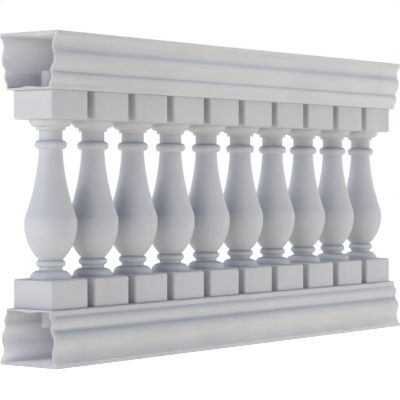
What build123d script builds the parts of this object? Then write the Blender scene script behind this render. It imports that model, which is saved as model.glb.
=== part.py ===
from build123d import *
import os

# A balustrade section for the edge of a deck, as it comes before its posts go on.
# Two hollow moulded rails, each open at both ends, hold a row of turned balusters.
# A stout dowel joins each end of a baluster to its rail and ends inside the hollow.
# Sizes are in millimetres. X runs along the rails, Y across them and Z up.
# The origin is the middle of the flat underside of the bottom rail.

# The row of balusters
baluster_count = 10
baluster_pitch = 176.0
end_setback = 16.5          # end of a rail to the side of the nearest block

# Heights of the rail's mouldings, from its wide face to the face with the balusters
band_height = 12.0
cove_height = 45.0
ovolo_height = 39.5
quirk_height = 12.0
bead_height = 31.0
neck_height = 17.5

# How far each moulding stands back from the side of the wide face
rail_width = 212.6
ovolo_shoulder_recess = 8.0
ovolo_foot_recess = 14.8
quirk_recess = 18.5
neck_recess = 23.6

# How round each moulding is
cove_radius = 35.1
ovolo_radius = 43.1
quirk_radius = 16.0
bead_radius = 23.8
wide_edge_round = 2.0

# Inside the rail
skin = 5.5
ridge_width = 64.0          # stiffening ridge along the middle of both skins
ridge_height = 3.6

# The baluster, from its lower block up
block_size = 147.2
block_height = 80.0
block_round = 4.5
base_height = 23.0
base_radius = 57.5
lower_neck_height = 9.5
ring_height = 19.5
ring_radius = 41.0
belly_height = 115.0
belly_round = 138.0
belly_top_radius = 72.0
sweep_height = 191.5
shoulder_pull_out = 35.0     # the sweep's curve is pulled to two points, each so far
shoulder_pull_up = 17.5      # out from the neck and so far up from the belly
waist_pull_out = 5.6
waist_pull_up = 84.0
collar_height = 24.5
collar_radius = 44.9
upper_neck_height = 28.0
fillet_height = 8.5
fillet_radius = 40.5
echinus_height = 20.5
echinus_round = 19.5
neck_radius = 32.4

# The dowels, one at each end of a baluster
dowel_diameter = 52.0
dowel_seat = 55.5           # how far it goes into the block
dowel_reach = 54.5          # how far it goes past the face of the rail
dowel_fit = 0.3             # clearance all round, in the block and in the skin
dowel_chamfer = 2.0

# Sizes that follow from those above
rail_height = band_height + cove_height + ovolo_height + quirk_height + bead_height + neck_height
row_length = (baluster_count - 1) * baluster_pitch
rail_length = row_length + block_size + 2 * end_setback
shaft_height = (
    base_height + lower_neck_height + ring_height + belly_height + sweep_height
    + collar_height + upper_neck_height + fillet_height + echinus_height
)
baluster_height = shaft_height + 2 * block_height
top_rail_z = rail_height + baluster_height
baluster_places = [baluster_pitch * i - row_length / 2 for i in range(baluster_count)]


def moulded_side():
    """One side of the rail's section, from the wide face down to the baluster face at Z 0.

    The first coordinate is the distance from the middle of the rail.
    """
    edge = rail_width / 2
    band_foot = rail_height - band_height
    cove_foot = band_foot - cove_height
    ovolo_foot = cove_foot - ovolo_height
    quirk_foot = ovolo_foot - quirk_height
    bead_foot = quirk_foot - bead_height
    corners = [
        (edge, band_foot),
        (edge - ovolo_shoulder_recess, cove_foot),
        (edge - ovolo_foot_recess, ovolo_foot),
        (edge - quirk_recess, quirk_foot),
        (edge - neck_recess, bead_foot),
    ]
    # The cove and the quirk are hollow, and the ovolo and the bead stand out.
    radii = [-cove_radius, ovolo_radius, -quirk_radius, bead_radius]
    with BuildLine() as side:
        Polyline((0, rail_height), (edge, rail_height), corners[0])
        for above, below, radius in zip(corners, corners[1:], radii):
            RadiusArc(above, below, radius)
        Polyline(corners[-1], (edge - neck_recess, 0), (0, 0))
    return side.line


def stiffening_ridge():
    """Section of the low rounded ridge, on a skin whose outer face is at Z 0."""
    half = ridge_width / 2
    with BuildSketch() as ridge:
        with BuildLine():
            Polyline((half, skin), (half, skin / 2), (-half, skin / 2), (-half, skin))
            ThreePointArc((-half, skin), (0, skin + ridge_height), (half, skin))
        make_face()
    return ridge.sketch


def rail_section():
    """The moulded hollow section, with the baluster face at Z 0 and the wide face above it."""
    side = moulded_side()
    outline = make_face(side + mirror(side, about=Plane.YZ))
    wide_corners = outline.vertices().group_by(Axis.Y)[-1]
    outline = fillet([v for v in wide_corners if abs(v.X) > 1], wide_edge_round)
    hollow = offset(outline, amount=-skin, kind=Kind.ARC)
    ridge = stiffening_ridge()
    opposite_ridge = Pos(0, rail_height) * mirror(ridge, about=Plane.XZ)
    return outline - hollow + ridge + opposite_ridge


def rail():
    """A rail lying with its baluster face down at Z 0 and the dowel holes in that skin."""
    body = extrude(Plane.YZ.offset(-rail_length / 2) * rail_section(), rail_length)
    hole = Cylinder(dowel_diameter / 2 + dowel_fit, 2 * (skin + ridge_height + dowel_fit))
    return body - [Pos(x, 0, 0) * hole for x in baluster_places]


def turned_outline():
    """Half of the turned shaft, standing on Z 0: distance from the axis, then height."""
    base_top = base_height
    ring_foot = base_top + lower_neck_height
    belly_foot = ring_foot + ring_height
    belly_top = belly_foot + belly_height
    collar_foot = belly_top + sweep_height
    collar_top = collar_foot + collar_height
    fillet_foot = collar_top + upper_neck_height
    echinus_foot = fillet_foot + fillet_height
    with BuildSketch(Plane.XZ) as half:
        with BuildLine():
            Line((0, 0), (base_radius, 0))
            RadiusArc((base_radius, 0), (base_radius - base_height, base_top), -base_height)
            Polyline(
                (base_radius - base_height, base_top),
                (neck_radius, base_top),
                (neck_radius, ring_foot),
            )
            ThreePointArc(
                (neck_radius, ring_foot),
                (ring_radius, ring_foot + ring_height / 2),
                (neck_radius, belly_foot),
            )
            RadiusArc((neck_radius, belly_foot), (belly_top_radius, belly_top), -belly_round)
            # From the crease over the belly the shaft sweeps in to the neck.
            Bezier(
                (belly_top_radius, belly_top),
                (neck_radius + shoulder_pull_out, belly_top + shoulder_pull_up),
                (neck_radius + waist_pull_out, belly_top + waist_pull_up),
                (neck_radius, collar_foot),
            )
            ThreePointArc(
                (neck_radius, collar_foot),
                (collar_radius, collar_foot + collar_height / 2),
                (neck_radius, collar_top),
            )
            Polyline(
                (neck_radius, collar_top),
                (neck_radius, fillet_foot),
                (fillet_radius, fillet_foot),
                (fillet_radius, echinus_foot),
            )
            RadiusArc(
                (fillet_radius, echinus_foot),
                (fillet_radius + echinus_round, echinus_foot + echinus_round),
                -echinus_round,
            )
            Polyline(
                (fillet_radius + echinus_round, echinus_foot + echinus_round),
                (fillet_radius + echinus_round, shaft_height),
                (0, shaft_height),
                (0, 0),
            )
        make_face()
    return half.sketch


def block():
    """A square block on Z 0 with its dowel socket, square below and softly rounded elsewhere."""
    standing = (Align.CENTER, Align.CENTER, Align.MIN)
    body = Box(block_size, block_size, block_height, align=standing)
    top_edges = body.edges().group_by(Axis.Z)[-1]
    body = fillet(top_edges + body.edges().filter_by(Axis.Z), block_round)
    return body - Cylinder(dowel_diameter / 2 + dowel_fit, dowel_seat + dowel_fit, align=standing)


def baluster():
    """A baluster on Z 0: block, turned shaft and block."""
    lower_block = block()
    upper_block = Pos(0, 0, baluster_height) * mirror(lower_block, about=Plane.XY)
    shaft = Pos(0, 0, block_height) * revolve(turned_outline(), axis=Axis.Z)
    return lower_block + shaft + upper_block


def dowel():
    """A dowel standing on Z 0, chamfered at both ends to start it in its holes."""
    standing = (Align.CENTER, Align.CENTER, Align.MIN)
    rod = Cylinder(dowel_diameter / 2, dowel_reach + dowel_seat, align=standing)
    return chamfer(rod.edges().filter_by(GeomType.CIRCLE), dowel_chamfer)


os.makedirs("parts", exist_ok=True)
pieces = {
    "bottom_rail": Pos(0, 0, rail_height) * mirror(rail(), about=Plane.XY),
    "top_rail": Pos(0, 0, top_rail_z) * rail(),
}
turned_piece = baluster()
pin = dowel()
for number, x in enumerate(baluster_places, start=1):
    pieces[f"baluster_{number:02d}"] = Pos(x, 0, rail_height) * turned_piece
    pieces[f"lower_dowel_{number:02d}"] = Pos(x, 0, rail_height - dowel_reach) * pin
    pieces[f"upper_dowel_{number:02d}"] = Pos(x, 0, top_rail_z - dowel_seat) * pin

for name, piece in pieces.items():
    piece.label = name
    export_step(piece, f"parts/{name}.step")
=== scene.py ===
import math

import bpy
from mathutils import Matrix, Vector


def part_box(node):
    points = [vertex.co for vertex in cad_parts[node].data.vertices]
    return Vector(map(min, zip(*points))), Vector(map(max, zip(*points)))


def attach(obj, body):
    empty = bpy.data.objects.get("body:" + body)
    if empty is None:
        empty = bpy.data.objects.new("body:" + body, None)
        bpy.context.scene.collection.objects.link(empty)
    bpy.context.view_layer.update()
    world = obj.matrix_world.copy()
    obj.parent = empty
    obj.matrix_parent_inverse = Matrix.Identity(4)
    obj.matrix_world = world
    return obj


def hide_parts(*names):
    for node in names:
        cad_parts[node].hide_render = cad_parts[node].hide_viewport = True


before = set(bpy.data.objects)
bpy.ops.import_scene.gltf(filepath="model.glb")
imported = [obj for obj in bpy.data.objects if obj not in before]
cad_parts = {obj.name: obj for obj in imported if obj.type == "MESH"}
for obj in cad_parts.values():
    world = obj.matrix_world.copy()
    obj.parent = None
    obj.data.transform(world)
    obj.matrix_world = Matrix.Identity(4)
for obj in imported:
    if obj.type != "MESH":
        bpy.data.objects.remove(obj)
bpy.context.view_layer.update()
bpy.ops.object.select_all(action="DESELECT")

# THE BOTTOM RAIL
# A hollow moulding of thin white composite, laid up in a polished mould and sawn to length.
# It lies with its wide face down. Inside, a low ridge stiffens the middle of both flat skins.
rail_half_length = 0.8821
rail_height = 0.1570
rail_skin = 0.0055
ridge_half_width = 0.032
ridge_height = 0.0036
ridge_sunk = 0.001          # how deep a ridge goes into its skin
ridge_end_gap = 0.0002      # how far a ridge stops short of the sawn end
wide_edge_round = 0.002
narrow_edge_round = 0.006
hair = 0.0001               # two places this near count as one
moulding_steps = 12
ridge_steps = 14
# Each line: distance from the middle of the rail, depth from the wide face, and how the
# moulding gets there from the line above: straight, standing out or hollow, with its radius.
rail_side = [
    (0.1063, 0.0, "straight", 0.0),
    (0.1063, 0.0120, "straight", 0.0),
    (0.0983, 0.0570, "hollow", 0.0351),
    (0.0915, 0.0965, "out", 0.0431),
    (0.0878, 0.1085, "hollow", 0.0160),
    (0.0856, 0.1367, "out", 0.0238),
    (0.0827, 0.1445, "hollow", 0.0120),
    (0.0827, rail_height, "straight", 0.0),
    (0.0, rail_height, "straight", 0.0),
]


def start_of_line(name, place):
    """A new object that is one selected point at the place, in edit mode."""
    bpy.ops.object.select_all(action="DESELECT")
    bpy.ops.mesh.primitive_plane_add(size=0.01, location=place)
    piece = bpy.context.object
    piece.name = name
    bpy.ops.object.transform_apply(location=True)
    bpy.ops.object.mode_set(mode="EDIT")
    bpy.ops.mesh.select_mode(type="VERT")
    bpy.ops.mesh.select_all(action="SELECT")
    bpy.ops.mesh.merge(type="CENTER")
    return piece


def line_on(here, there):
    """Draws the selected point on to the next place, along a straight line."""
    bpy.ops.mesh.extrude_region_move(TRANSFORM_OT_translate={"value": there - here})
    return there


def curve_on(here, there, radius, inward, axis, steps):
    """Draws the selected point on along an arc whose centre lies on the inward side.

    The spin operator counts a turn clockwise as seen against its axis.
    """
    chord = there - here
    across = axis.cross(chord).normalized()
    if across.dot(inward) < 0:
        across.negate()
    drop = math.sqrt(max(radius * radius - chord.length_squared / 4, 0.0))
    centre = (here + there) / 2 + across * drop
    start, end = here - centre, there - centre
    sweep = math.atan2(end.cross(start).dot(axis), start.dot(end))
    bpy.ops.mesh.spin(steps=steps, angle=sweep, center=centre, axis=axis)
    return there


def rail_shell(name, wide_face, up):
    """The moulded skin of a rail. Up is 1 where the wide face is on top, -1 where underneath."""
    def place(out, depth):
        return Vector((-rail_half_length, out, wide_face - up * depth))

    along = Vector((1.0, 0.0, 0.0))
    here = place(0.0, 0.0)
    piece = start_of_line(name, here)
    for out, depth, way, radius in rail_side:
        there = place(out, depth)
        if way == "straight":
            here = line_on(here, there)
        else:
            inward = Vector((0.0, -1.0 if way == "out" else 1.0, 0.0))
            here = curve_on(here, there, radius, inward, along, moulding_steps)
    bpy.ops.object.mode_set(mode="OBJECT")
    other_side = piece.modifiers.new("other_side", "MIRROR")
    other_side.use_axis = (False, True, False)
    other_side.merge_threshold = hair
    bpy.ops.object.modifier_apply(modifier=other_side.name)
    bpy.ops.object.mode_set(mode="EDIT")
    bpy.ops.mesh.select_all(action="SELECT")
    bpy.ops.mesh.extrude_region_move(
        TRANSFORM_OT_translate={"value": (2 * rail_half_length, 0.0, 0.0)}
    )
    bpy.ops.mesh.select_all(action="SELECT")
    bpy.ops.mesh.remove_doubles(threshold=0.00001)
    bpy.ops.mesh.normals_make_consistent(inside=False)
    bpy.ops.object.mode_set(mode="OBJECT")
    return piece


def ridge_strip(name, face, inward):
    """The ridge on the inner side of a flat skin, whose outer side is at the face height."""
    def place(out, height):
        return Vector((-rail_half_length + ridge_end_gap, out, face + inward * height))

    bulge = (ridge_half_width**2 + ridge_height**2) / (2 * ridge_height)
    foot = rail_skin - ridge_sunk
    piece = start_of_line(name, place(ridge_half_width, foot))
    here = line_on(place(ridge_half_width, foot), place(ridge_half_width, rail_skin))
    here = curve_on(
        here, place(-ridge_half_width, rail_skin), bulge,
        Vector((0.0, 0.0, -inward)), Vector((1.0, 0.0, 0.0)), ridge_steps,
    )
    line_on(here, place(-ridge_half_width, foot))
    bpy.ops.mesh.select_all(action="SELECT")
    bpy.ops.mesh.edge_face_add()
    bpy.ops.mesh.select_all(action="SELECT")
    bpy.ops.mesh.extrude_region_move(
        TRANSFORM_OT_translate={"value": (2 * (rail_half_length - ridge_end_gap), 0.0, 0.0)}
    )
    bpy.ops.mesh.select_all(action="SELECT")
    bpy.ops.mesh.normals_make_consistent(inside=False)
    bpy.ops.object.mode_set(mode="OBJECT")
    return piece


def feed(tree, socket, value):
    """Links another node's output to a socket, or gives the socket a value of its own."""
    if isinstance(value, bpy.types.NodeSocket):
        tree.links.new(value, socket)
    else:
        socket.default_value = value


def maths_in(tree, operation, *values):
    """The result of a Math node over numbers and other nodes' outputs."""
    step = tree.nodes.new("ShaderNodeMath")
    step.operation = operation
    for socket, value in zip(step.inputs, values):
        feed(tree, socket, value)
    return step.outputs[0]


def noise_in(tree, vector, scale, detail):
    """Cloudy noise, mostly between 0.3 and 0.7."""
    cloud = tree.nodes.new("ShaderNodeTexNoise")
    cloud.inputs["Scale"].default_value = scale
    cloud.inputs["Detail"].default_value = detail
    tree.links.new(vector, cloud.inputs["Vector"])
    return cloud.outputs["Fac"]


def spread_in(tree, value, low, high, from_low=0.3, from_high=0.7):
    """Spreads a value that runs between the two from-ends over low to high, and no further."""
    spread = tree.nodes.new("ShaderNodeMapRange")
    for label, end in (("From Min", from_low), ("From Max", from_high),
                       ("To Min", low), ("To Max", high)):
        feed(tree, spread.inputs[label], end)
    tree.links.new(value, spread.inputs["Value"])
    return spread.outputs["Result"]


def place_in(tree):
    """The X, Y and Z outputs for a point of a piece, in metres from the section's origin."""
    split = tree.nodes.new("ShaderNodeSeparateXYZ")
    tree.links.new(tree.nodes.new("ShaderNodeTexCoord").outputs["Object"], split.inputs[0])
    return split.outputs


# The white of the mouldings has a faint cloudiness, a fine orange-peel grain that the mould
# leaves, and a slow waviness where the skin is thin. One group gives all three to each finish,
# and multiplies painted shade of another colour into it where its shade input says.
finish = bpy.data.node_groups.new("moulded_finish", "ShaderNodeTree")
for label, kind in (("Colour", "NodeSocketColor"), ("Stretch", "NodeSocketVector"),
                    ("Grain Depth", "NodeSocketFloat"), ("Wave Depth", "NodeSocketFloat"),
                    ("Smooth", "NodeSocketFloat"), ("Dull", "NodeSocketFloat"),
                    ("Painted Shade", "NodeSocketFloat"), ("Shade Colour", "NodeSocketColor")):
    finish.interface.new_socket(label, in_out="INPUT", socket_type=kind)
for label, kind in (("Colour", "NodeSocketColor"), ("Roughness", "NodeSocketFloat"),
                    ("Normal", "NodeSocketVector")):
    finish.interface.new_socket(label, in_out="OUTPUT", socket_type=kind)
asked = finish.nodes.new("NodeGroupInput").outputs
given = finish.nodes.new("NodeGroupOutput").inputs
where = finish.nodes.new("ShaderNodeTexCoord").outputs["Object"]
stretched = finish.nodes.new("ShaderNodeMapping")
finish.links.new(where, stretched.inputs["Vector"])
finish.links.new(asked["Stretch"], stretched.inputs["Scale"])
drawn_out = stretched.outputs["Vector"]
cloudy = spread_in(finish, noise_in(finish, where, scale=7.0, detail=4.0), 0.955, 1.03)
streaky = spread_in(finish, noise_in(finish, drawn_out, scale=60.0, detail=3.0), 0.985, 1.012)
tinted = finish.nodes.new("ShaderNodeVectorMath")
tinted.operation = "SCALE"
finish.links.new(asked["Colour"], tinted.inputs[0])
finish.links.new(maths_in(finish, "MULTIPLY", cloudy, streaky), tinted.inputs["Scale"])
# Painted shade: the shade colour is multiplied in where the group's shade input says.
shade_mixed = finish.nodes.new("ShaderNodeMix")
shade_mixed.data_type = "RGBA"
shade_mixed.blend_type = "MULTIPLY"
# Sockets 6 and 7 are this node's two colours, and output 2 is the mixed colour.
finish.links.new(asked["Painted Shade"], shade_mixed.inputs["Factor"])
finish.links.new(tinted.outputs["Vector"], shade_mixed.inputs[6])
finish.links.new(asked["Shade Colour"], shade_mixed.inputs[7])
finish.links.new(shade_mixed.outputs[2], given["Colour"])
patchy = noise_in(finish, drawn_out, scale=28.0, detail=3.0)
finish.links.new(
    spread_in(finish, patchy, asked["Smooth"], asked["Dull"]), given["Roughness"]
)
wave = finish.nodes.new("ShaderNodeBump")
finish.links.new(asked["Wave Depth"], wave.inputs["Distance"])
finish.links.new(noise_in(finish, drawn_out, scale=11.0, detail=1.0), wave.inputs["Height"])
grain = finish.nodes.new("ShaderNodeBump")
finish.links.new(asked["Grain Depth"], grain.inputs["Distance"])
finish.links.new(noise_in(finish, drawn_out, scale=320.0, detail=2.0), grain.inputs["Height"])
finish.links.new(wave.outputs["Normal"], grain.inputs["Normal"])
finish.links.new(grain.outputs["Normal"], given["Normal"])

# This group finds where shade is painted: a blue-grey darkening on whatever faces up, where
# nearby parts close it in. Open and Closed are the free sky at which the painted shade starts and
# is whole, and Steep and Level are the upward slants between which it builds up.
nook_reach = 0.09           # how far round a spot its free sky is judged
shade_finder = bpy.data.node_groups.new("painted_shade_places", "ShaderNodeTree")
for label in ("Open", "Closed", "Steep", "Level"):
    shade_finder.interface.new_socket(label, in_out="INPUT", socket_type="NodeSocketFloat")
shade_finder.interface.new_socket("Painted Shade", in_out="OUTPUT", socket_type="NodeSocketFloat")
limits = shade_finder.nodes.new("NodeGroupInput").outputs
occlusion = shade_finder.nodes.new("ShaderNodeAmbientOcclusion")
occlusion.samples = 8
occlusion.inputs["Distance"].default_value = nook_reach
slant = shade_finder.nodes.new("ShaderNodeSeparateXYZ")
shade_finder.links.new(shade_finder.nodes.new("ShaderNodeNewGeometry").outputs["Normal"], slant.inputs[0])
closed_in = spread_in(
    shade_finder, occlusion.outputs["AO"], 0.0, 1.0, from_low=limits["Open"], from_high=limits["Closed"])
flat_enough = spread_in(
    shade_finder, slant.outputs["Z"], 0.0, 1.0, from_low=limits["Steep"], from_high=limits["Level"])
shade_finder.links.new(
    maths_in(shade_finder, "MULTIPLY", closed_in, flat_enough),
    shade_finder.nodes.new("NodeGroupOutput").inputs["Painted Shade"],
)


def moulded_material(name, colour, stretch, grain_depth, wave_depth, smooth, dull):
    """A white finish of the mouldings, from the shared group with this piece's own values."""
    material = bpy.data.materials.new(name)
    material.use_nodes = True
    tree = material.node_tree
    shader = tree.nodes["Principled BSDF"]
    shader.inputs["Specular IOR Level"].default_value = 0.35
    skin = tree.nodes.new("ShaderNodeGroup")
    skin.node_tree = finish
    skin.name = "finish"
    skin.inputs["Colour"].default_value = (*colour, 1.0)
    skin.inputs["Stretch"].default_value = stretch
    skin.inputs["Grain Depth"].default_value = grain_depth
    skin.inputs["Wave Depth"].default_value = wave_depth
    skin.inputs["Smooth"].default_value = smooth
    skin.inputs["Dull"].default_value = dull
    tree.links.new(skin.outputs["Colour"], shader.inputs["Base Color"])
    tree.links.new(skin.outputs["Roughness"], shader.inputs["Roughness"])
    tree.links.new(skin.outputs["Normal"], shader.inputs["Normal"])
    return material


def paint_shade(material, colour, from_open, to_closed, steep, level, kept=1.0):
    """Paints shade on a material's closed-in places that face up. Kept is the share of it that
    stays.
    """
    tree = material.node_tree
    skin = tree.nodes["finish"]
    skin.inputs["Shade Colour"].default_value = (*colour, 1.0)
    shade_spots = tree.nodes.new("ShaderNodeGroup")
    shade_spots.node_tree = shade_finder
    shade_spots.inputs["Open"].default_value = from_open
    shade_spots.inputs["Closed"].default_value = to_closed
    shade_spots.inputs["Steep"].default_value = steep
    shade_spots.inputs["Level"].default_value = level
    shade_share = maths_in(tree, "MULTIPLY", shade_spots.outputs["Painted Shade"], kept)
    tree.links.new(shade_share, skin.inputs["Painted Shade"])


rail_face = moulded_material(
    "rail_face", colour=(0.585, 0.585, 0.585), stretch=(0.12, 1.0, 1.0),
    grain_depth=0.00006, wave_depth=0.0005, smooth=0.48, dull=0.62)
# The painted shade fades out at the foot of the bottom rail and is weaker high on the top rail.
# The list has heights and how much painted shade stays there, and takes the place of the
# ramp's own two stops.
shade_by_height = [(0.025, 0.0), (0.09, 1.0), (0.60, 1.0), (0.76, 0.6)]
tree = rail_face.node_tree
spot = place_in(tree)
shade_height_ramp = tree.nodes.new("ShaderNodeValToRGB")
stops = shade_height_ramp.color_ramp.elements
stops.remove(stops[0])
for height, share in shade_by_height:
    stops.new(height).color = (share, share, share, 1.0)
stops.remove(stops[-1])
tree.links.new(spot["Z"], shade_height_ramp.inputs["Fac"])
# Little of the painted shade stays on the open ledges past the end blocks.
off_ledges = spread_in(
    tree, maths_in(tree, "ABSOLUTE", spot["X"]), 1.0, 0.3, from_low=0.862, from_high=0.872)
# Painted shade, blue-grey, on the rails' upward faces.
paint_shade(
    rail_face, colour=(0.555, 0.61, 0.69), from_open=1.02, to_closed=0.91, steep=0.0, level=0.36,
    kept=maths_in(tree, "MULTIPLY", shade_height_ramp.outputs["Color"], off_ledges))

# Painted light: the inside of the same skin is given a far lighter colour than the outer face,
# which paints light into the hollows.
rail_inside = moulded_material(
    "rail_inside", colour=(0.96, 0.96, 0.96), stretch=(0.12, 1.0, 1.0),
    grain_depth=0.0002, wave_depth=0.0008, smooth=0.70, dull=0.85)
# Painted shade makes the inside greyer towards the narrow skin, and a little greyer near both
# open ends, apart from the bottom rail's floor. The narrow skins are 300 mm from the middle
# height of the section and the wide ones 457 mm.
middle_height = 0.457
tree = rail_inside.node_tree
spot = place_in(tree)
from_middle = maths_in(tree, "ABSOLUTE", maths_in(tree, "SUBTRACT", spot["Z"], middle_height))
by_narrow_skin = spread_in(tree, from_middle, 1.0, 0.0, from_low=0.30, from_high=0.40)
off_floor = spread_in(tree, spot["Z"], 0.0, 0.30, from_low=0.025, from_high=0.07)
by_open_end = spread_in(
    tree, maths_in(tree, "ABSOLUTE", spot["X"]), 0.0, off_floor, from_low=0.66, from_high=0.86)
inside_finish = tree.nodes["finish"]
inside_finish.inputs["Shade Colour"].default_value = (0.62, 0.62, 0.64, 1.0)
tree.links.new(
    maths_in(tree, "MAXIMUM", by_narrow_skin, by_open_end), inside_finish.inputs["Painted Shade"]
)

sawn_end = moulded_material(
    "sawn_end", colour=(0.53, 0.53, 0.53), stretch=(1.0, 4.0, 0.3),
    grain_depth=0.0002, wave_depth=0.0002, smooth=0.70, dull=0.85)


def pick_edges(piece, wanted):
    """Selects those edges whose two ends the test accepts, and leaves the piece in edit mode."""
    bpy.ops.object.mode_set(mode="EDIT")
    bpy.ops.mesh.select_mode(type="EDGE")
    bpy.ops.mesh.select_all(action="DESELECT")
    bpy.ops.object.mode_set(mode="OBJECT")
    points = piece.data.vertices
    for edge in piece.data.edges:
        edge.select = wanted(*(points[n].co for n in edge.vertices))
    bpy.ops.object.mode_set(mode="EDIT")


def round_edges(piece, width, segments, wanted):
    """Rounds those edges of a piece whose two ends the test accepts."""
    pick_edges(piece, wanted)
    bpy.ops.mesh.bevel(offset=width, segments=segments, affect="EDGES")
    bpy.ops.object.mode_set(mode="OBJECT")


def finished_rail(name, wide_face, up):
    """A whole rail: its shell given its thickness, with both ridges and softened edges."""
    rail = rail_shell(name, wide_face, up)
    wall = rail.modifiers.new("wall", "SOLIDIFY")
    wall.thickness = rail_skin
    wall.offset = -1.0
    wall.use_even_offset = True
    # The outer side takes the first material, the inner side the second and the rim the third.
    wall.material_offset = 1
    wall.material_offset_rim = 2
    for material in (rail_face, rail_inside, sawn_end):
        rail.data.materials.append(material)
    bpy.ops.object.modifier_apply(modifier=wall.name)
    for (out, depth), width in (
        (rail_side[0][:2], wide_edge_round), (rail_side[-2][:2], narrow_edge_round)
    ):
        height = wide_face - up * depth
        round_edges(rail, width, segments=4, wanted=lambda a, b: all(
            abs(abs(end.y) - out) < hair and abs(end.z - height) < hair for end in (a, b)
        ))
    ridges = [
        ridge_strip(name + "_wide_ridge", wide_face, -up),
        ridge_strip(name + "_narrow_ridge", wide_face - up * rail_height, up),
    ]
    for ridge in ridges:
        ridge.data.materials.append(rail_inside)
        ridge.data.materials.append(sawn_end)
        for face in ridge.data.polygons:
            face.material_index = 1 if abs(face.normal.x) > 0.9 else 0
    bpy.ops.object.select_all(action="DESELECT")
    for piece in (*ridges, rail):
        piece.select_set(True)
    bpy.context.view_layer.objects.active = rail
    bpy.ops.object.join()
    soft = rail.modifiers.new("soft_edges", "BEVEL")
    soft.width = 0.0006
    soft.segments = 2
    soft.limit_method = "ANGLE"
    soft.angle_limit = math.radians(28.0)
    bpy.ops.object.modifier_apply(modifier=soft.name)
    bpy.ops.object.shade_smooth_by_angle(angle=math.radians(24.0))
    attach(rail, "root")
    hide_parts(name.removesuffix("_shell"))


finished_rail("bottom_rail_shell", wide_face=0.0, up=-1)

# THE DOWELS
# Plain round pins of white plastic, glued into the blocks. Their colour is set darker than the
# mouldings', which paints in the shade of the hollows where they show. They end inside the
# rails, and the first one shows through each open end. A drawn finish runs along them.
dowel_finish = moulded_material(
    "dowel_finish", colour=(0.46, 0.46, 0.46), stretch=(1.0, 1.0, 0.06),
    grain_depth=0.00008, wave_depth=0.0002, smooth=0.45, dull=0.6)
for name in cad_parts:
    if "_dowel_" in name:
        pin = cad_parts[name]
        pin.data.materials.clear()
        pin.data.materials.append(dowel_finish)

# THE BALUSTERS
# Each is one turned shape between two square blocks, cast in rigid white foam with a hard
# smooth skin. The mould rounds every corner a little, but leaves a crisp line over the belly.
block_foot = rail_height
block_height = 0.0800
block_half = 0.0736
block_round = 0.0065
block_foot_round = 0.0010
shaft_foot = block_foot + block_height
shaft_height = 0.4400
shaft_overlap = 0.0010      # how far the turned shape goes into each block
belly_line = 0.1670
turning_steps = 96
belly_steps = 20
small_arc_steps = 10
# Each line: radius, height over the lower block, and the radius of the arc that leads there.
turned_shape = [
    (0.0575, -shaft_overlap, 0.0),
    (0.0575, 0.0, 0.0),
    (0.0345, 0.0230, 0.0230),
    (0.0324, 0.0230, 0.0),
    (0.0324, 0.0325, 0.0),
    (0.0324, 0.0520, 0.009828),
    (0.0720, belly_line, 0.1380),
    "sweep",
    (0.0324, 0.3830, 0.012253),
    (0.0324, 0.4110, 0.0),
    (0.0405, 0.4110, 0.0),
    (0.0405, 0.4195, 0.0),
    (0.0600, 0.4390, 0.0195),
    (0.0600, shaft_height + shaft_overlap, 0.0),
]
# The sweep from the belly to the collar starts at the first of these and ends at the last, and
# the two between pull it into a soft curve.
sweep_pulls = [(0.0720, belly_line), (0.0674, 0.1845), (0.0380, 0.2510), (0.0324, 0.3585)]
sweep_steps = 22


def sweep_point(part_way):
    """Radius and height of the sweep, part of the way along from 0 to 1."""
    stay = 1.0 - part_way
    shares = (stay**3, 3 * stay**2 * part_way, 3 * stay * part_way**2, part_way**3)
    return [sum(share * pull[k] for share, pull in zip(shares, sweep_pulls)) for k in (0, 1)]


def turned_place(radius, height):
    """A place on the half outline of the shaft, which lies at the right of its axis."""
    return Vector((radius, 0.0, shaft_foot + height))


def turned_shaft():
    """The turned part of a baluster, spun round the Z axis from its half outline."""
    here = turned_place(0.0, -shaft_overlap)
    piece = start_of_line("turned_shaft", here)
    for line in turned_shape:
        if line == "sweep":
            for step in range(1, sweep_steps + 1):
                here = line_on(here, turned_place(*sweep_point(step / sweep_steps)))
            continue
        radius, height, round_by = line
        there = turned_place(radius, height)
        if round_by:
            here = curve_on(
                here, there, round_by, Vector((-1.0, 0.0, 0.0)), Vector((0.0, 1.0, 0.0)),
                belly_steps if height == belly_line else small_arc_steps,
            )
        else:
            here = line_on(here, there)
    line_on(here, turned_place(0.0, shaft_height + shaft_overlap))
    bpy.ops.mesh.select_all(action="SELECT")
    bpy.ops.mesh.spin(
        steps=turning_steps, angle=2 * math.pi,
        center=(0.0, 0.0, 0.0), axis=(0.0, 0.0, 1.0), use_auto_merge=True,
    )
    bpy.ops.mesh.select_all(action="SELECT")
    bpy.ops.mesh.remove_doubles(threshold=0.00002)
    bpy.ops.mesh.normals_make_consistent(inside=False)
    bpy.ops.object.mode_set(mode="OBJECT")
    soft = piece.modifiers.new("soft_corners", "BEVEL")
    soft.width = 0.0009
    soft.segments = 2
    soft.limit_method = "ANGLE"
    soft.angle_limit = math.radians(26.0)
    bpy.ops.object.modifier_apply(modifier=soft.name)
    pick_edges(piece, lambda a, b: all(
        abs(end.z - shaft_foot - belly_line) < hair / 2 for end in (a, b)
    ))
    bpy.ops.mesh.mark_sharp()
    bpy.ops.object.mode_set(mode="OBJECT")
    return piece


def square_block(name, foot, seat):
    """A block, well rounded except round the face that sits on its rail, at the seat height."""
    bpy.ops.object.select_all(action="DESELECT")
    bpy.ops.mesh.primitive_cube_add(size=1.0, location=(0.0, 0.0, foot + block_height / 2))
    piece = bpy.context.object
    piece.name = name
    piece.scale = (2 * block_half, 2 * block_half, block_height)
    bpy.ops.object.transform_apply(location=True, scale=True)
    round_edges(piece, block_round, segments=4, wanted=lambda a, b: any(
        abs(end.z - seat) > 10 * hair for end in (a, b)
    ))
    round_edges(piece, block_foot_round, segments=2, wanted=lambda a, b: all(
        abs(end.z - seat) < hair for end in (a, b)
    ))
    return piece


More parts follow.
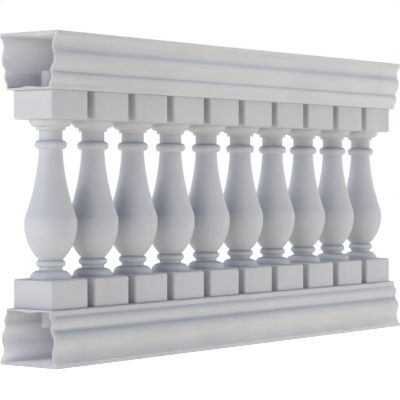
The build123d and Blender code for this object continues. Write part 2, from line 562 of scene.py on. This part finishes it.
block_face = moulded_material(
    "block_face", colour=(0.535, 0.535, 0.535), stretch=(1.0, 1.0, 1.0),
    grain_depth=0.00006, wave_depth=0.0004, smooth=0.48, dull=0.62)
# Painted shade, blue-grey, on the blocks' upward faces where nearby parts close them in.
paint_shade(
    block_face, colour=(0.62, 0.66, 0.74), from_open=1.0, to_closed=0.35, steep=0.0, level=0.4)
shaft_face = moulded_material(
    "shaft_face", colour=(0.540, 0.545, 0.554), stretch=(1.0, 1.0, 1.0),
    grain_depth=0.00006, wave_depth=0.0004, smooth=0.46, dull=0.60)
# The painted shade is halved on the balusters at the two ends.
tree = shaft_face.node_tree
out_along = maths_in(tree, "ABSOLUTE", place_in(tree)["X"])
# Painted shade, blue-grey, in the shafts' closed-in places, the more so where they face up.
paint_shade(
    shaft_face, colour=(0.60, 0.64, 0.72), from_open=1.0, to_closed=0.38, steep=-0.15, level=0.3,
    kept=spread_in(tree, out_along, 1.0, 0.5, from_low=0.66, from_high=0.75))

shaft = turned_shaft()
shaft.data.materials.append(shaft_face)
shaft_top = shaft_foot + shaft_height
blocks = [
    square_block("lower_block", block_foot, seat=block_foot),
    square_block("upper_block", shaft_top, seat=shaft_top + block_height),
]
bpy.ops.object.select_all(action="DESELECT")
for block in blocks:
    block.data.materials.append(block_face)
for piece in (*blocks, shaft):
    piece.select_set(True)
bpy.context.view_layer.objects.active = shaft
bpy.ops.object.join()
bpy.ops.object.shade_smooth_by_angle(angle=math.radians(22.0), keep_sharp_edges=True)
baluster_nodes = sorted(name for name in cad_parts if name.startswith("baluster_"))
for number, name in enumerate(baluster_nodes, start=1):
    low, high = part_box(name)
    turned = shaft if number == len(baluster_nodes) else shaft.copy()
    if turned is not shaft:
        turned.data = shaft.data.copy()
        bpy.context.scene.collection.objects.link(turned)
    turned.name = f"turned_baluster_{number:02d}"
    bpy.ops.object.select_all(action="DESELECT")
    turned.select_set(True)
    bpy.context.view_layer.objects.active = turned
    turned.location = ((low.x + high.x) / 2, 0.0, 0.0)
    bpy.ops.object.transform_apply(location=True)
    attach(turned, "root")
    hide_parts(name)

# THE TOP RAIL
# The same moulding as the bottom rail, turned over so that its wide face is uppermost. It is
# dropped over the upper dowels and rests on the upper blocks.
section_height = 0.9140
finished_rail("top_rail_shell", wide_face=section_height, up=1)

# THE STUDIO
# The floor is a sheet of pale backlit acrylic: it glows a little, so the undersides are light,
# and it still takes the section's shadow. The pale walls are lighter in front and behind than
# at the two ends. Five softboxes fill in: two at the left, two at the right and one overhead.
floor_gap = 0.0005          # keeps the sheet clear of the rail's flat underside
bpy.ops.object.select_all(action="DESELECT")
bpy.ops.mesh.primitive_plane_add(size=60.0, location=(0.0, 0.0, -floor_gap))
floor = bpy.context.object
floor.name = "studio_floor"
floor_white = bpy.data.materials.new("floor_white")
floor_white.use_nodes = True
tree = floor_white.node_tree
floor_shader = tree.nodes["Principled BSDF"]
floor_shader.inputs["Base Color"].default_value = (0.85, 0.85, 0.85, 1.0)
floor_shader.inputs["Roughness"].default_value = 1.0
floor_shader.inputs["Specular IOR Level"].default_value = 0.0
floor_shader.inputs["Emission Color"].default_value = (1.0, 0.89, 0.68, 1.0)
floor_shader.inputs["Emission Strength"].default_value = 0.52
# To the camera alone the floor glows a little more, which makes it white.
light_path = tree.nodes.new("ShaderNodeLightPath")
glow = tree.nodes.new("ShaderNodeEmission")
glow.inputs["Color"].default_value = (0.30, 0.36, 0.48, 1.0)
both = tree.nodes.new("ShaderNodeAddShader")
pick = tree.nodes.new("ShaderNodeMixShader")
tree.links.new(floor_shader.outputs[0], both.inputs[0])
tree.links.new(glow.outputs[0], both.inputs[1])
tree.links.new(light_path.outputs["Is Camera Ray"], pick.inputs[0])
tree.links.new(floor_shader.outputs[0], pick.inputs[1])
tree.links.new(both.outputs[0], pick.inputs[2])
tree.links.new(pick.outputs[0], tree.nodes["Material Output"].inputs["Surface"])
floor.data.materials.append(floor_white)

# Each wall lights the section from its own side, and fades towards its neighbours. Each line:
# name, direction and colour.
walls = [
    ("left", (-1.0, 0.0, 0.0), (0.01, 0.05, 0.66)),
    ("left_back", (-0.7071, 0.7071, 0.0), (0.92, 1.06, 1.06)),
    ("back", (0.0, 1.0, 0.0), (1.10, 1.08, 1.33)),
    ("front", (0.0, -1.0, 0.0), (0.90, 1.03, 1.11)),
    ("right_front", (0.7071, -0.7071, 0.0), (0.76, 0.70, 0.81)),
    ("right", (1.0, 0.0, 0.0), (0.40, 0.40, 0.42)),
]
wall_fade = 4.0             # how quickly a wall's light falls off to its sides
world = bpy.data.worlds.new("studio_walls")
bpy.context.scene.world = world
world.use_nodes = True
tree = world.node_tree
tree.nodes.clear()
looking = tree.nodes.new("ShaderNodeTexCoord").outputs["Generated"]
wall_light = None
for wall, towards, colour in walls:
    facing = tree.nodes.new("ShaderNodeVectorMath")
    facing.operation = "DOT_PRODUCT"
    facing.inputs[1].default_value = towards
    tree.links.new(looking, facing.inputs[0])
    ahead = maths_in(tree, "MAXIMUM", facing.outputs["Value"], 0.0)
    lit = tree.nodes.new("ShaderNodeVectorMath")
    lit.operation = "SCALE"
    lit.label = wall
    lit.inputs[0].default_value = colour
    tree.links.new(maths_in(tree, "POWER", ahead, wall_fade), lit.inputs["Scale"])
    if wall_light is None:
        wall_light = lit.outputs["Vector"]
    else:
        total = tree.nodes.new("ShaderNodeVectorMath")
        total.operation = "ADD"
        tree.links.new(wall_light, total.inputs[0])
        tree.links.new(lit.outputs["Vector"], total.inputs[1])
        wall_light = total.outputs["Vector"]
surround = tree.nodes.new("ShaderNodeBackground")
tree.links.new(wall_light, surround.inputs["Color"])
white = tree.nodes.new("ShaderNodeBackground")
white.inputs["Color"].default_value = (1.0, 1.0, 1.0, 1.0)
seen = tree.nodes.new("ShaderNodeLightPath").outputs
choose = tree.nodes.new("ShaderNodeMixShader")
any_white = maths_in(tree, "MAXIMUM", seen["Is Camera Ray"], seen["Is Transmission Ray"])
tree.links.new(any_white, choose.inputs[0])
tree.links.new(surround.outputs[0], choose.inputs[1])
tree.links.new(white.outputs[0], choose.inputs[2])
tree.links.new(
    choose.outputs[0], tree.nodes.new("ShaderNodeOutputWorld").inputs["Surface"]
)


def softbox(name, place, target, width, height, watts, colour):
    """A flat lamp at a place, turned to face its target and left out of the picture."""
    lamp = bpy.data.lights.new(name, "AREA")
    lamp.shape = "RECTANGLE"
    lamp.size = width
    lamp.size_y = height
    lamp.energy = watts
    lamp.color = colour
    holder = bpy.data.objects.new(name, lamp)
    bpy.context.scene.collection.objects.link(holder)
    holder.location = place
    look = [t - p for t, p in zip(target, place)]
    turn = math.atan2(look[1], look[0]) - math.pi / 2
    tilt = math.atan2(math.hypot(look[0], look[1]), -look[2])
    holder.rotation_euler = (tilt, 0.0, turn)
    holder.visible_camera = False


# Each line: name, place, target, width, height, watts and colour.
softbox("left_softbox", (-2.6, 0.4, 1.20), (-0.9, 0.0, 0.46), 0.8, 0.8, 14.4, (1.0, 0.99, 0.92))
softbox("right_softbox", (2.6, 0.1, 0.9), (0.9, 0.0, 0.46), 0.8, 0.8, 7.0, (1.0, 1.0, 1.0))
softbox("low_left_softbox", (-2.5, -0.6, 0.2), (-0.9, 0.0, 0.15), 0.6, 0.4, 4.2, (1.0, 1.0, 1.0))
softbox("low_right_softbox", (1.75, -1.15, 0.25), (0.85, 0.0, 0.4), 0.6, 0.6, 4.4, (0.97, 1.0, 1.0))
softbox("overhead_softbox", (0.0, 0.0, 2.0), (0.0, 0.0, 0.9), 2.4, 0.25, 22.0, (1.0, 1.0, 1.0))

# The camera stands at the front left, level, a little above the middle of the section.
camera = bpy.data.cameras.new("camera")
camera.lens = 156.75
camera.sensor_width = 36.0
camera.shift_y = -0.05065
camera.clip_start = 0.1
camera.clip_end = 200.0
stand = bpy.data.objects.new("camera", camera)
bpy.context.scene.collection.objects.link(stand)
stand.location = (-4.3440, -3.2811, 0.5107)
stand.rotation_euler = (math.pi / 2, 0.0, -0.91052)
bpy.context.scene.camera = stand
bpy.context.scene.view_settings.view_transform = "Standard"
